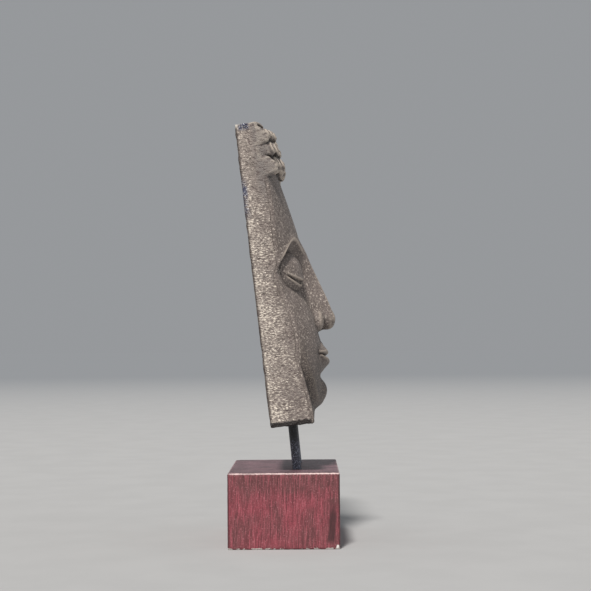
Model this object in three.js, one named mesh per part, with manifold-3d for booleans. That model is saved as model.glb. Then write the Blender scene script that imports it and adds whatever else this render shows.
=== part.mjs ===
// A carved face relief: a flat-backed slab cut from a head, held on two rods in a painted wooden block.
// Millimetres, +Z up. The origin is the middle of the block's underside, and the face looks along -Y.
import * as THREE from "three";
import { mergeVertices } from "three/addons/utils/BufferGeometryUtils.js";
import Module from "manifold-3d";

// Block
const BLOCK_WIDTH = 112;
const BLOCK_DEPTH = 74;
const BLOCK_HEIGHT = 50;
const BLOCK_CHAMFER = 0.9;

// Rods
const ROD_DIAMETER = 6;
const ROD_SPACING = 52;
const ROD_LEAN = 5.5;
const ROD_FROM_SLAB_BACK = 14.4;
const ROD_IN_BLOCK = 28;
const ROD_IN_SLAB = 35;
const ROD_SIDES = 24;
const GAP = 0.3;

// Slab: its back is flat, and its sides, top and bottom are plane cuts
const SLAB_WIDTH = 112;
const SLAB_HEIGHT = 203;
const SLAB_DEPTH = 52;
const SLAB_LEAN = 6.4;
const SLAB_BACK = 8.5;
const SLAB_OVER_BLOCK = 29;

// The carving is drawn at this size and then fitted to the slab's own width, height and depth
const DRAWN_WIDTH = 112;
const DRAWN_HEIGHT = 203;
const DRAWN_DEPTH = 52;

// Levels on the face, up from the slab's bottom cut: three equal thirds from hairline to chin
const CHIN_LEVEL = 6;
const HAIRLINE_LEVEL = 172;
const THIRD = (HAIRLINE_LEVEL - CHIN_LEVEL) / 3;
const BROW_LEVEL = HAIRLINE_LEVEL - THIRD;
const NOSE_LEVEL = BROW_LEVEL - THIRD;
const MOUTH_LEVEL = NOSE_LEVEL - THIRD / 3;
const EYE_THIRDS = 1.75;
const EYE_LEVEL = CHIN_LEVEL + THIRD * EYE_THIRDS;

// Head: depth over the back at each level, along the middle and along the cut sides
const HEAD_MIDDLE = [[-4, 27], [6, 32], [24, 36.5], [45, 38], [95, 36], [124, 34], [150, 29], [178, 22.6],
  [194, 20], [207, 14.5]];
const HEAD_SIDE = [[-10, 30.5], [28, 27], [62, 24.2], [96, 20], [119, 18.3], [146, 18.6], [173, 16.8],
  [210, 12]];
const HEAD_REACH = 66;
const CHEEK = { place: 33, level: 62, width: 17, height: 22, depth: 2.6 };
const JAW = { centre: 67, fade: 30, across: 62, down: 63, start: 0.89, end: 1.11, drop: 17, soft: 2.4 };
const CORNER_GROUND = [[3, 29.5], [28, 26.6], [48, 22.5], [68, 14]];

// Brow and eye: a line bends by the square of the distance across over its bend
const BROW = {
  rise: 7.5, peak: 29, bend: 42.55, line: 1, lineWidth: 1.9, lineStart: 4, lineEnd: 56, lineFade: 8,
};
const HOLLOW = {
  depth: 6.6, fade: 38, inner: 3, innerWidth: 11, outer: 42, outerWidth: 16, outerShare: 0.45,
  aboveBrow: 1, underBrow: 8,
};
const EYE = { place: 30.5, drop: 0.5, halfWidth: 19.5, halfHeight: 13.4, depth: 7.2, round: 0.62 };
const SLIT = { drop: 6.6, sag: 3.4, tilt: 1.3, half: 17, height: 2.7, depth: 1.9, edge: 0.9, endShare: 0.3 };
const LID = {
  band: 0.45, bandRise: 1.2, bandWidth: 1, bandEndShare: 0.25,
  lowerShare: 0.9, lowerRim: 0.9, lowerDrop: 1, lowerWidth: 1.5, lowerFade: 7, lowerFadeShare: 0.25,
};

// Nose: ridge depth, half width of its flat top and slope of its sides, by height over the nose's base
const NOSE_RIDGE = [[2, 46], [8.5, DRAWN_DEPTH - 0.6], [15, 50.4], [30, 45.4], [46, 39.8], [58, 34.6],
  [68, 24], [78, 4]];
const NOSE_FLAT = [[0, 2.5], [8, 3.4], [16, 2.6], [34, 2.2], [50, 3.2], [62, 7]];
const NOSE_SLOPE = [[0, 1.5], [12, 1.55], [30, 1.45], [50, 1.15], [64, 0.5]];
const NOSE_BLEND = [[4, 3], [20, 6.5], [50, 7]];
const NOSE_UNDERCUT = { drop: 30, low: -2.5, high: 3.5, edge: 1.6 };
const NOSE_TIP = { place: 0, up: 8.2, depth: 43.4, across: 8.6, tall: 8, swell: 8.6, soft: 3, lean: 0 };
const NOSE_WING = { place: 10.4, up: 7.2, depth: 38.6, across: 6.8, tall: 7.8, swell: 5.8, soft: 3.4,
  lean: -0.35 };
const KNOB_FALL = 2.2;

// Mouth and chin
const MUZZLE = { depth: 3.4, width: 26, height: 16 };
const MOUTH = {
  bend: 200, dip: 0.8, dipWidth: 5.5, wave: 0.5, wavePlace: 9, waveWidth: 5,
  groove: 0.9, grooveWidth: 1.4, end: 27, endWidth: 6,
};
const MOUTH_CORNER = { place: 26, depth: 1.3, width: 3.5 };
const UPPER_LIP = {
  half: 25.5, thick: 8, full: 1.9, round: 0.85, depth: 3.6, rise: 0.66, fall: 0.3, keep: 0.3,
};
const LOWER_LIP = {
  half: 22.5, thick: 9.2, full: 2.5, round: 0.8, depth: 4, rise: 0.62, fall: 0.36, keep: 0.2,
};
const LIP_PEAK = { place: 5.5, width: 3.4, thick: 1 };
const LIP = { leastThick: 0.3, taper: 0.6, fadeStart: 0.98, fadeEnd: 1.22 };
const PHILTRUM = {
  depth: 1, width: 3, ridge: 0.5, ridgePlace: 4.8, ridgeWidth: 2.1, foot: 7, top: 3, fade: 4,
};
const CHIN = { level: 17.5, depth: 5, width: 15, height: 9.5 };
const CHIN_FOLD = { below: 13.5, depth: 2.6, width: 17, height: 4.2 };

// Hair: rows of round curls in a close packing, cut by the slab's top and sides
const CURLS_ACROSS = 9.6;
const CURL_PITCH = DRAWN_WIDTH / CURLS_ACROSS;
const CURL_ROW = CURL_PITCH * Math.sin(Math.PI / 3);
const CURL_ROWS = 4;
const CURL = {
  radius: 0.64 * CURL_PITCH, height: 5.6, round: 2.2, droop: 0.5, start: 6.6, stray: 0.9, uneven: 0.13,
};
const CURL_TURN = 2.4;
const HAIR = { rise: 1.2, bend: 625, under: 0.8, over: 1.4 };

// Grid of the carved surface: cells lie closer, by share, where the form turns quickly
const COLUMNS = 48;
const ROWS = 84;
const SAMPLES = 2000;
const CLOSER_COLUMNS = { place: 10, width: 8, share: 0.4 };
const CLOSER_ROWS = [
  { level: EYE_LEVEL - SLIT.drop, width: 9, share: 1.6 },
  { level: BROW_LEVEL, width: 7, share: 1.28 },
  { level: NOSE_LEVEL, width: 6, share: 1.4 },
  { level: MOUTH_LEVEL, width: 6, share: 1.82 },
];
const CLOSER_HAIR = 6;

// Points nearer than this are one
const WELD = 1e-4;

const FINISHES = {
  stone: { color: 0x7a6e63, roughness: 0.8, metalness: 0 },
  rod: { color: 0x1d1c1e, roughness: 0.4, metalness: 0.6 },
  paint: { color: 0x8f4e52, roughness: 0.5, metalness: 0 },
};

const clamp = (x) => Math.min(Math.max(x, 0), 1);
const bump = (x, width) => Math.exp(-((x / width) ** 2));
const radians = THREE.MathUtils.degToRad;

function step(from, to, x) {
  const t = clamp((x - from) / (to - from));
  return t * t * (3 - 2 * t);
}

// A softer step, with no jump in its curvature
function ease(from, to, x) {
  const t = clamp((x - from) / (to - from));
  return t * t * t * (10 - 15 * t + 6 * t * t);
}

// The higher of two surfaces, rounded where they meet
function join(a, b, soft) {
  const h = clamp(0.5 + (0.5 * (a - b)) / soft);
  return b + (a - b) * h + soft * h * (1 - h);
}

// A smooth curve through points, level at both ends
function curve(x, points) {
  const last = points.length - 1;
  if (x <= points[0][0]) return points[0][1];
  if (x >= points[last][0]) return points[last][1];
  const i = points.findIndex((p) => p[0] > x) - 1;
  const rise = (k, axis) => points[k + 1][axis] - points[k - 1][axis];
  const slope = (k) => (k <= 0 || k >= last ? 0 : rise(k, 1) / rise(k, 0));
  const width = points[i + 1][0] - points[i][0];
  const t = (x - points[i][0]) / width;
  const rest = 1 - t;
  const ends = (1 + 2 * t) * rest * rest * points[i][1] + t * t * (3 - 2 * t) * points[i + 1][1];
  return ends + t * rest * width * (rest * slope(i) - t * slope(i + 1));
}

function head(u, v) {
  const middle = curve(v, HEAD_MIDDLE);
  const side = curve(v, HEAD_SIDE);
  const arc = (x) => Math.sqrt(1 - (x / HEAD_REACH) ** 2);
  const edge = arc(DRAWN_WIDTH / 2);
  const share = (arc(u) - edge) / (1 - edge);
  const cheek = bump(Math.abs(u) - CHEEK.place, CHEEK.width) * bump(v - CHEEK.level, CHEEK.height);
  return side + (middle - side) * share + CHEEK.depth * cheek;
}

// The jaw falls to flat ground at the slab's lower corners
function jaw(u, v, surface) {
  const low = Math.max(JAW.centre - v, 0);
  const reach = Math.hypot(u / JAW.across, low / JAW.down);
  const drop = JAW.drop * step(JAW.start, JAW.end, reach) * step(JAW.centre, JAW.fade, v);
  return join(surface - drop, curve(v, CORNER_GROUND), JAW.soft);
}

// Arched brows over a hollow, with a closed upper lid, a narrow slit and a lower lid
function eyes(u, v, surface) {
  const a = Math.abs(u);
  const below = BROW_LEVEL + BROW.rise - (a - BROW.peak) ** 2 / BROW.bend - v;
  const inner = step(HOLLOW.inner, HOLLOW.inner + HOLLOW.innerWidth, a);
  const outer = 1 - HOLLOW.outerShare * step(HOLLOW.outer, HOLLOW.outer + HOLLOW.outerWidth, a);
  const fade = 1 - ease(EYE_LEVEL, EYE_LEVEL - HOLLOW.fade, v);
  const under = step(-HOLLOW.aboveBrow, HOLLOW.underBrow, below) * fade;
  const hollow = HOLLOW.depth * inner * outer * under;
  const start = step(BROW.lineStart, BROW.lineStart + BROW.lineFade, a);
  const end = step(BROW.lineEnd, BROW.lineEnd - BROW.lineFade, a);
  const line = BROW.line * bump(below, BROW.lineWidth) * start * end;
  const x = (a - EYE.place) / EYE.halfWidth;
  const y = (v - EYE_LEVEL + EYE.drop) / EYE.halfHeight;
  const dome = EYE.depth * clamp(1 - x * x - y * y) ** EYE.round;
  const along = (a - EYE.place) / SLIT.half;
  const rim = EYE_LEVEL - SLIT.drop + SLIT.sag * along * along + SLIT.tilt * along;
  const inside = clamp(1 - along * along);
  const low = rim - SLIT.height * inside;
  const ball = Math.max(dome - SLIT.depth * step(0, SLIT.endShare, inside), 0);
  const lowerRim = LID.lowerRim * Math.sqrt(inside) * bump(v - low + LID.lowerDrop, LID.lowerWidth);
  const lowerFade = 1 - LID.lowerFadeShare * step(0, LID.lowerFade, low - v);
  const lower = (LID.lowerShare * Math.max(dome - SLIT.edge, 0) + lowerRim) * lowerFade;
  const open = step(-SLIT.edge, SLIT.edge, v - low);
  const over = step(-SLIT.edge, SLIT.edge, v - rim);
  const lid = dome * over + (lower * (1 - open) + ball * open) * (1 - over);
  const band = LID.band * bump(v - rim - LID.bandRise, LID.bandWidth) * step(0, LID.bandEndShare, inside);
  return surface - hollow + line + lid + band;
}

// A rounded mass joined to the surface
function knob(form, a, up, surface) {
  const x = (a - form.place) / form.across;
  const y = (up - form.up - form.lean * (a - form.place)) / form.tall;
  const t = Math.hypot(x, y);
  const depth = form.depth + form.swell * (Math.sqrt(clamp(1 - t * t)) - KNOB_FALL * Math.max(t - 1, 0));
  return join(depth, surface, form.soft);
}

function nose(u, v, surface) {
  const a = Math.abs(u);
  const up = v - NOSE_LEVEL;
  const beyond = Math.max(a - curve(up, NOSE_FLAT), 0);
  const side = curve(up, NOSE_SLOPE) * (Math.hypot(beyond, NOSE_UNDERCUT.edge) - NOSE_UNDERCUT.edge);
  const under = NOSE_UNDERCUT.drop * (1 - step(NOSE_UNDERCUT.low, NOSE_UNDERCUT.high, up));
  const bridge = join(curve(up, NOSE_RIDGE) - side - under, surface, curve(up, NOSE_BLEND));
  return knob(NOSE_WING, a, up, knob(NOSE_TIP, a, up, bridge));
}

// One lip: it rises quickly from the mouth's line and fades to the skin, away = distance from the line
function lip(form, a, away, extra) {
  const share = clamp(1 - (a / form.half) ** form.full);
  const t = away / Math.max(form.thick * share ** form.round + extra, LIP.leastThick);
  if (t <= 0) return 0;
  const rise = 1 - (1 - clamp(t / form.rise)) ** 2;
  const fade = 1 - step(LIP.fadeStart, LIP.fadeEnd, t);
  const fall = (1 - (1 - form.keep) * step(form.fall, 1, t)) * fade;
  return form.depth * share ** LIP.taper * rise * fall;
}

function mouth(u, v, surface) {
  const a = Math.abs(u);
  const up = v - MOUTH_LEVEL;
  const muzzle = MUZZLE.depth * bump(u, MUZZLE.width) * bump(up, MUZZLE.height);
  const wave = MOUTH.wave * bump(a - MOUTH.wavePlace, MOUTH.waveWidth);
  const line = (u * u) / MOUTH.bend - MOUTH.dip * bump(u, MOUTH.dipWidth) + wave;
  const peak = LIP_PEAK.thick * bump(a - LIP_PEAK.place, LIP_PEAK.width);
  const lips = lip(UPPER_LIP, a, up - line, peak) + lip(LOWER_LIP, a, line - up, 0);
  const beside = bump(a - MOUTH_CORNER.place, MOUTH_CORNER.width);
  const corner = MOUTH_CORNER.depth * beside * bump(up - line, MOUTH_CORNER.width);
  const ends = step(MOUTH.end, MOUTH.end - MOUTH.endWidth, a);
  const groove = MOUTH.groove * bump(up - line, MOUTH.grooveWidth) * ends;
  const foot = step(PHILTRUM.foot, PHILTRUM.foot + PHILTRUM.fade, up);
  const top = step(PHILTRUM.top, PHILTRUM.top - PHILTRUM.fade, v - NOSE_LEVEL);
  const ridges = PHILTRUM.ridge * bump(a - PHILTRUM.ridgePlace, PHILTRUM.ridgeWidth);
  const furrow = PHILTRUM.depth * bump(u, PHILTRUM.width);
  return surface + muzzle + lips - corner - groove + foot * top * (ridges - furrow);
}

function chin(u, v, surface) {
  const fold = bump(u, CHIN_FOLD.width) * bump(v - MOUTH_LEVEL + CHIN_FOLD.below, CHIN_FOLD.height);
  const ball = bump(u, CHIN.width) * bump(v - CHIN.level, CHIN.height);
  return surface - CHIN_FOLD.depth * fold + CHIN.depth * ball;
}

const hairDrop = (u) => (u * u) / HAIR.bend;

// Each curl's place and size. They stray a little from the even packing, alike on both sides of the middle.
function curlPlaces() {
  const places = [];
  const aside = Math.ceil(CURLS_ACROSS / 2);
  for (let row = 0; row < CURL_ROWS; row++) {
    const shift = row % 2 === 0 ? 0.5 : 0;
    for (let k = -aside; k <= aside; k++) {
      const across = k + shift;
      const turn = CURL_TURN * (Math.abs(across) + row * CURL_ROWS);
      const u = across * CURL_PITCH + Math.sign(across) * CURL.stray * Math.cos(turn);
      if (Math.abs(u) > DRAWN_WIDTH / 2) continue;
      const v = HAIRLINE_LEVEL + CURL.start + row * CURL_ROW - hairDrop(u) + CURL.stray * Math.sin(turn);
      places.push({ u, v, size: 1 + CURL.uneven * Math.sin(2 * turn) });
    }
  }
  return places;
}

const CURLS = curlPlaces();

function hair(u, v, surface) {
  const heights = CURLS.map((curl) => {
    const radius = CURL.radius * curl.size;
    const reach = clamp(Math.hypot(u - curl.u, v - curl.v) / radius);
    const droop = 1 - (CURL.droop * (v - curl.v)) / radius;
    return CURL.height * curl.size * (1 - reach ** CURL.round) * droop;
  });
  const ground = HAIR.rise * step(-HAIR.under, HAIR.over, v - HAIRLINE_LEVEL + hairDrop(u));
  return surface + ground + Math.max(...heights);
}

// The carving's depth over the slab's back, u across and v up from the bottom cut
function carving(u, v) {
  let surface = jaw(u, v, head(u, v));
  surface = eyes(u, v, surface);
  surface = chin(u, v, mouth(u, v, surface));
  return hair(u, v, nose(u, v, surface));
}

// Grid lines from one end to the other, spaced by how closely each place needs them
function gridLines(from, to, count, closeness) {
  const cell = (to - from) / SAMPLES;
  const places = Array.from({ length: SAMPLES }, (_, i) => from + (i + 0.5) * cell);
  const total = places.reduce((sum, place) => sum + closeness(place), 0);
  const lines = [from];
  let sum = 0;
  for (const place of places) {
    const share = closeness(place);
    const wanted = (lines.length / count) * total;
    const isNext = lines.length < count && sum + share >= wanted;
    if (isNext) lines.push(place + cell * ((wanted - sum) / share - 0.5));
    sum += share;
  }
  return [...lines, to];
}

// A closed slab: the carved front, four cut sides and the flat back. Local x is u, y is v and z is depth.
function slabGeometry() {
  const half = DRAWN_WIDTH / 2;
  const closer = (form, away) => form.share * bump(away, form.width);
  const us = gridLines(-half, half, COLUMNS, (u) => {
    return 1 + closer(CLOSER_COLUMNS, Math.abs(u) - CLOSER_COLUMNS.place);
  });
  const vs = gridLines(0, DRAWN_HEIGHT, ROWS, (v) => {
    const onHair = step(HAIRLINE_LEVEL - CLOSER_HAIR, HAIRLINE_LEVEL, v);
    return CLOSER_ROWS.reduce((sum, form) => sum + closer(form, v - form.level), 1 + onHair);
  });
  const points = [];
  const faces = [];
  const add = (u, v, depth) => points.push([u, v, depth]) - 1;
  const front = us.map((u) => vs.map((v) => add(u, v, carving(u, v))));
  for (let i = 0; i < COLUMNS; i++) {
    for (let j = 0; j < ROWS; j++) {
      const [a, b, c, d] = [front[i][j], front[i + 1][j], front[i + 1][j + 1], front[i][j + 1]];
      const drop = (p, q) => Math.abs(points[p][2] - points[q][2]);
      if (drop(a, c) < drop(b, d)) faces.push([a, b, c], [a, c, d]);
      else faces.push([a, b, d], [b, c, d]);
    }
  }
  const rim = [
    ...us.slice(0, -1).map((_, i) => front[i][0]),
    ...vs.slice(0, -1).map((_, j) => front[COLUMNS][j]),
    ...us.slice(1).map((_, i) => front[COLUMNS - i][ROWS]),
    ...vs.slice(1).map((_, j) => front[0][ROWS - j]),
  ];
  const back = rim.map((index) => add(points[index][0], points[index][1], 0));
  const middle = add(0, DRAWN_HEIGHT / 2, 0);
  rim.forEach((index, k) => {
    const next = (k + 1) % rim.length;
    faces.push([index, back[k], back[next]], [index, back[next], rim[next]], [middle, back[next], back[k]]);
  });
  const geometry = new THREE.BufferGeometry();
  geometry.setAttribute("position", new THREE.Float32BufferAttribute(points.flat(), 3));
  geometry.setIndex(faces.flat());
  return geometry.scale(SLAB_WIDTH / DRAWN_WIDTH, SLAB_HEIGHT / DRAWN_HEIGHT, SLAB_DEPTH / DRAWN_DEPTH);
}

// The upward direction that leans back from upright
const leaning = (degrees) => new THREE.Vector3(0, Math.sin(radians(degrees)), Math.cos(radians(degrees)));

// Local slab axes in the object's frame: across, up the back, and out of the back towards the face
function slabMatrix() {
  const across = new THREE.Vector3(1, 0, 0);
  const up = leaning(SLAB_LEAN);
  const out = across.clone().cross(up);
  const axes = new THREE.Matrix4().makeBasis(across, up, out);
  return axes.setPosition(0, SLAB_BACK, BLOCK_HEIGHT + SLAB_OVER_BLOCK);
}

// The block's corners and edges are all taken off by a small chamfer
function blockGeometry() {
  const x = BLOCK_WIDTH / 2 - BLOCK_CHAMFER;
  const y = BLOCK_DEPTH / 2 - BLOCK_CHAMFER;
  const cut = BLOCK_CHAMFER;
  const outline = new THREE.Shape();
  outline.moveTo(-x + cut, -y);
  outline.lineTo(x - cut, -y);
  outline.lineTo(x, -y + cut);
  outline.lineTo(x, y - cut);
  outline.lineTo(x - cut, y);
  outline.lineTo(-x + cut, y);
  outline.lineTo(-x, y - cut);
  outline.lineTo(-x, -y + cut);
  outline.closePath();
  const geometry = new THREE.ExtrudeGeometry(outline, {
    depth: BLOCK_HEIGHT - 2 * BLOCK_CHAMFER,
    bevelThickness: BLOCK_CHAMFER,
    bevelSize: BLOCK_CHAMFER,
    bevelSegments: 1,
  });
  return geometry.translate(0, 0, BLOCK_CHAMFER);
}

// Where the rods' axis enters the slab, and its length from there down to the block's top
const entry = new THREE.Vector3(0, 0, ROD_FROM_SLAB_BACK).applyMatrix4(slabMatrix());
const shown = (entry.z - BLOCK_HEIGHT) / Math.cos(radians(ROD_LEAN));

// A round bar along the rods' leaning axis, between two distances from where the axis enters the slab
function barGeometry(radius, from, to, x) {
  const bar = new THREE.CylinderGeometry(radius, radius, to - from, ROD_SIDES);
  bar.translate(0, (from + to) / 2, 0);
  bar.rotateX(Math.PI / 2 - radians(ROD_LEAN));
  return bar.translate(x, entry.y, entry.z);
}

const wasm = await Module();
wasm.setup();

function solid(geometry) {
  const bare = geometry.clone();
  bare.deleteAttribute("normal");
  bare.deleteAttribute("uv");
  const merged = mergeVertices(bare, WELD);
  const vertProperties = new Float32Array(merged.attributes.position.array);
  const triVerts = new Uint32Array(merged.index.array);
  return new wasm.Manifold(new wasm.Mesh({ numProp: 3, vertProperties, triVerts }));
}

// The body with a bore for each rod
function bored(geometry, from, to) {
  const radius = ROD_DIAMETER / 2 + GAP;
  const bores = RODS.map(([, x]) => solid(barGeometry(radius, from, to, x)));
  const cut = bores.reduce((body, bore) => body.subtract(bore), solid(geometry)).getMesh();
  const result = new THREE.BufferGeometry();
  result.setAttribute("position", new THREE.Float32BufferAttribute(cut.vertProperties, 3));
  result.setIndex(new THREE.Uint32BufferAttribute(cut.triVerts, 1));
  result.computeVertexNormals();
  return result;
}

function piece(name, geometry, finish) {
  const mesh = new THREE.Mesh(geometry, new THREE.MeshStandardMaterial(finish));
  mesh.name = name;
  return mesh;
}

const RODS = [["rod_left", -ROD_SPACING / 2], ["rod_right", ROD_SPACING / 2]];

const past = 2 * ROD_DIAMETER;

const group = new THREE.Group();
const blockBore = [-shown - ROD_IN_BLOCK, -shown + past];
group.add(piece("block", bored(blockGeometry(), ...blockBore), FINISHES.paint));
for (const [name, x] of RODS) {
  const bar = barGeometry(ROD_DIAMETER / 2, blockBore[0] + GAP, ROD_IN_SLAB - GAP, x);
  group.add(piece(name, bar, FINISHES.rod));
}
const slab = slabGeometry().applyMatrix4(slabMatrix());
group.add(piece("face_relief", bored(slab, -past, ROD_IN_SLAB), FINISHES.stone));

export default group;
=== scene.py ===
"""A carved stone face relief on two black rods in a red painted block.

Sizes are in millimetres, in the finishes too, and the finished meshes are in metres.
"""
import math

import bmesh
import bpy
import numpy as np
from mathutils import Matrix, Vector


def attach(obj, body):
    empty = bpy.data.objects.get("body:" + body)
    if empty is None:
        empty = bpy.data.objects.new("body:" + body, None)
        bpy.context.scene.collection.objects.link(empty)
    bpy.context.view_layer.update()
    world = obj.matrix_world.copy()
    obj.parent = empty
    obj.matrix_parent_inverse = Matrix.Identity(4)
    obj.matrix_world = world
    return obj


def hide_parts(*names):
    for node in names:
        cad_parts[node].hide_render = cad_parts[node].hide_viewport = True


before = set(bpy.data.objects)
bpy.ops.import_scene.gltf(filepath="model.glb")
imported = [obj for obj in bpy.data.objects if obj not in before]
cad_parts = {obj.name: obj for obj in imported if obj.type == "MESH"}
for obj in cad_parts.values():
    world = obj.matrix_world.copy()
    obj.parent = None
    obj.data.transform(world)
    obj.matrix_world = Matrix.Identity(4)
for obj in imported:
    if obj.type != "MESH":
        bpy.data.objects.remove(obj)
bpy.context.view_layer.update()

MM = 0.001

# Block
BLOCK_WIDTH, BLOCK_DEPTH, BLOCK_HEIGHT = 112.0, 74.0, 50.0
BLOCK_EDGE_ROUND = 1.0
BLOCK_CELL = 1.2

# Rods
ROD_RADIUS = 3.0
ROD_SPACING = 52.0
ROD_LEAN = math.radians(5.5)
ROD_FROM_SLAB_BACK = 14.4
ROD_IN_BLOCK, ROD_IN_SLAB = 28.0, 35.0
ROD_SIDES, ROD_RINGS = 64, 40
ROD_END_ROUND = 0.6
GAP = 0.3
BORE_PAST = 4 * ROD_RADIUS

# Slab, and the rim of its carving, which is rounder where the hair rolls over the sides
SLAB_WIDTH, SLAB_HEIGHT, SLAB_DEPTH = 112.0, 203.0, 52.0
SLAB_LEAN = math.radians(6.4)
SLAB_BACK = 8.5
SLAB_OVER_BLOCK = 29.0
SLAB_EDGE_ROUND = 1.1
RIM_ROUND = 1.5
HAIR_RIM = dict(round=4.0, under=4, over=6, top=2, top_end=10)
HALF_WIDTH = SLAB_WIDTH / 2
SHARP_ANGLE = math.radians(62)

# Levels on the face: three equal thirds from hairline to chin
CHIN_LEVEL, HAIRLINE_LEVEL = 6.0, 172.0
THIRD = (HAIRLINE_LEVEL - CHIN_LEVEL) / 3
BROW_LEVEL = HAIRLINE_LEVEL - THIRD
NOSE_LEVEL = BROW_LEVEL - THIRD
MOUTH_LEVEL = NOSE_LEVEL - THIRD / 3
EYE_THIRDS = 1.75
EYE_LEVEL = CHIN_LEVEL + THIRD * EYE_THIRDS

# Head: depth over the back at each level, along the middle and along the cut sides
HEAD_MIDDLE = [(-4, 27), (6, 32), (24, 36.5), (45, 38), (95, 36), (124, 34), (150, 29), (178, 22.6),
               (194, 20), (207, 14.5)]
HEAD_SIDE = [(-10, 30.5), (28, 27), (62, 24.2), (96, 20), (119, 18.3), (146, 18.6), (173, 16.8),
             (210, 12)]
HEAD_REACH = 66.0
CHEEK = dict(place=33, level=62, width=17, height=22, depth=2.6)
JAW = dict(centre=67, fade=30, across=62, down=63, start=0.89, end=1.11, drop=17, soft=2.4)
CORNER_GROUND = [(3, 29.5), (28, 26.6), (48, 22.5), (68, 14)]

# Brow and eye: a line bends by the square of the distance across over its bend
BROW = dict(rise=7.5, peak=29, bend=42.55, line=1, line_width=1.9, line_start=4, line_end=56, line_fade=8)
HOLLOW = dict(depth=6.6, fade=38, inner=3, inner_width=11, outer=42, outer_width=16, outer_share=0.45,
              above_brow=1, under_brow=8)
EYE = dict(place=30.5, drop=0.5, half_width=19.5, half_height=13.4, depth=7.2, round=0.62)
SLIT = dict(drop=6.6, sag=3.4, tilt=1.3, half=17, height=2.7, depth=1.9, edge=0.45, end_share=0.3)
LID = dict(band=0.45, band_rise=1.2, band_width=1, band_end_share=0.25, lower_share=0.9, lower_rim=0.9,
           lower_drop=1, lower_width=1.5, lower_fade=7, lower_fade_share=0.25)
LID_OVERHANG = dict(depth=0.7, rise=0.9, width=1.1)

# Nose: ridge depth, half width of its flat top and slope of its sides, by height over the nose's base
NOSE_RIDGE = [(2, 46), (8.5, 51.4), (15, 50.4), (30, 45.4), (46, 39.8), (58, 34.6), (68, 24), (78, 4)]
NOSE_FLAT = [(0, 2.5), (8, 3.4), (16, 2.6), (34, 2.2), (50, 3.2), (62, 7)]
NOSE_SLOPE = [(0, 1.5), (12, 1.55), (30, 1.45), (50, 1.15), (64, 0.5)]
NOSE_BLEND = [(4, 3), (20, 6.5), (50, 7)]
NOSE_UNDERCUT = dict(drop=30, low=-2.5, high=3.5, edge=1.6)
NOSE_DROOP = dict(drop=2.4, start=41, end=50, width=13, rise=7, height=11)
NOSE_TIP = dict(place=0, up=8.2, depth=43.4, across=8.6, tall=8, swell=8.6, soft=3, lean=0)
NOSE_WING = dict(place=10.4, up=7.2, depth=38.6, across=6.8, tall=7.8, swell=5.8, soft=3.4, lean=-0.35)
KNOB_FALL = 2.2

# Mouth and chin
MUZZLE = dict(depth=3.4, width=26, height=16)
MOUTH = dict(bend=200, dip=0.8, dip_width=5.5, wave=0.5, wave_place=9, wave_width=5, groove=0.9,
             groove_width=0.9, end=27, end_width=6)
MOUTH_CORNER = dict(place=26, depth=1.3, width=3.5)
UPPER_LIP = dict(half=25.5, thick=8, full=1.9, round=0.85, depth=3.6, rise=0.42, fall=0.3, keep=0.3)
LOWER_LIP = dict(half=22.5, thick=9.2, full=2.5, round=0.8, depth=4, rise=0.45, fall=0.36, keep=0.2)
LIP_PEAK = dict(place=5.5, width=3.4, thick=1)
LIP = dict(least_thick=0.3, taper=0.6, fade_start=0.98, fade_end=1.22)
PHILTRUM = dict(depth=1, width=3, ridge=0.5, ridge_place=4.8, ridge_width=2.1, foot=7, top=3, fade=4)
CHIN = dict(level=17.5, depth=5, width=15, height=9.5)
CHIN_FOLD = dict(below=13.5, depth=2.6, width=17, height=4.2)

# Hair: rows of round curls in a close packing. They fade at the top cut and stand upright at every cut.
CURLS_ACROSS = 9.6
CURL_PITCH = SLAB_WIDTH / CURLS_ACROSS
CURL_ROW = CURL_PITCH * math.sin(math.pi / 3)
CURL_ROWS = 4
CURL_RADIUS = 0.64 * CURL_PITCH
CURL_HEIGHT, CURL_ROUND, CURL_DROOP = 5.6, 2.2, 0.5
CURL_START = 6.6
CURL_STRAY, CURL_UNEVEN, CURL_TURN = 0.9, 0.13, 2.4
CURL_SPIRAL, CURL_RIDGE = 3.2, 0.26
CURL_TIP = (0.2, 1.2)
CURL_FOOT = (0.86, 1.0)
CURL_TOP_FADE, CURL_TOP_SHARE = 5.0, 0.25
CURL_SIDE_FADE, CURL_SIDE_SHARE = 4.0, 0.85
CURL_UPRIGHT = 8.0
HAIR = dict(rise=1.2, bend=625, under=0.8, over=1.4)

# Fineness of the slab's mesh: its lines lie closer, by share, where the form turns quickly
COLUMNS, ROWS, RINGS = 180, 316, 24
BACK_STEP = 4
SAMPLES = 4000
CLOSER_COLUMNS = dict(place=12, width=14, share=0.25)
CLOSER_ROWS = [
    dict(level=EYE_LEVEL - SLIT["drop"], width=9, share=0.8),
    dict(level=BROW_LEVEL, width=7, share=0.4),
    dict(level=NOSE_LEVEL, width=7, share=0.6),
    dict(level=MOUTH_LEVEL, width=9, share=0.6),
]
CLOSER_HAIR = dict(under=6, share=0.9)

# Patterns sunk into the cut sides and the block's edges
PITS = dict(size=2.1, depth=0.42, low=0.40, high=0.62, detail=3)
BLOTCHES = dict(size=7.0, depth=0.35, low=0.35, high=0.65, detail=2)
DENTS = dict(size=3.2, depth=0.35, low=0.5, high=0.75, detail=2)
STONE_SEED, BLOCK_SEED = 3.0, 7.0
DENT_REACH = (0.3, 2.2)

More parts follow.
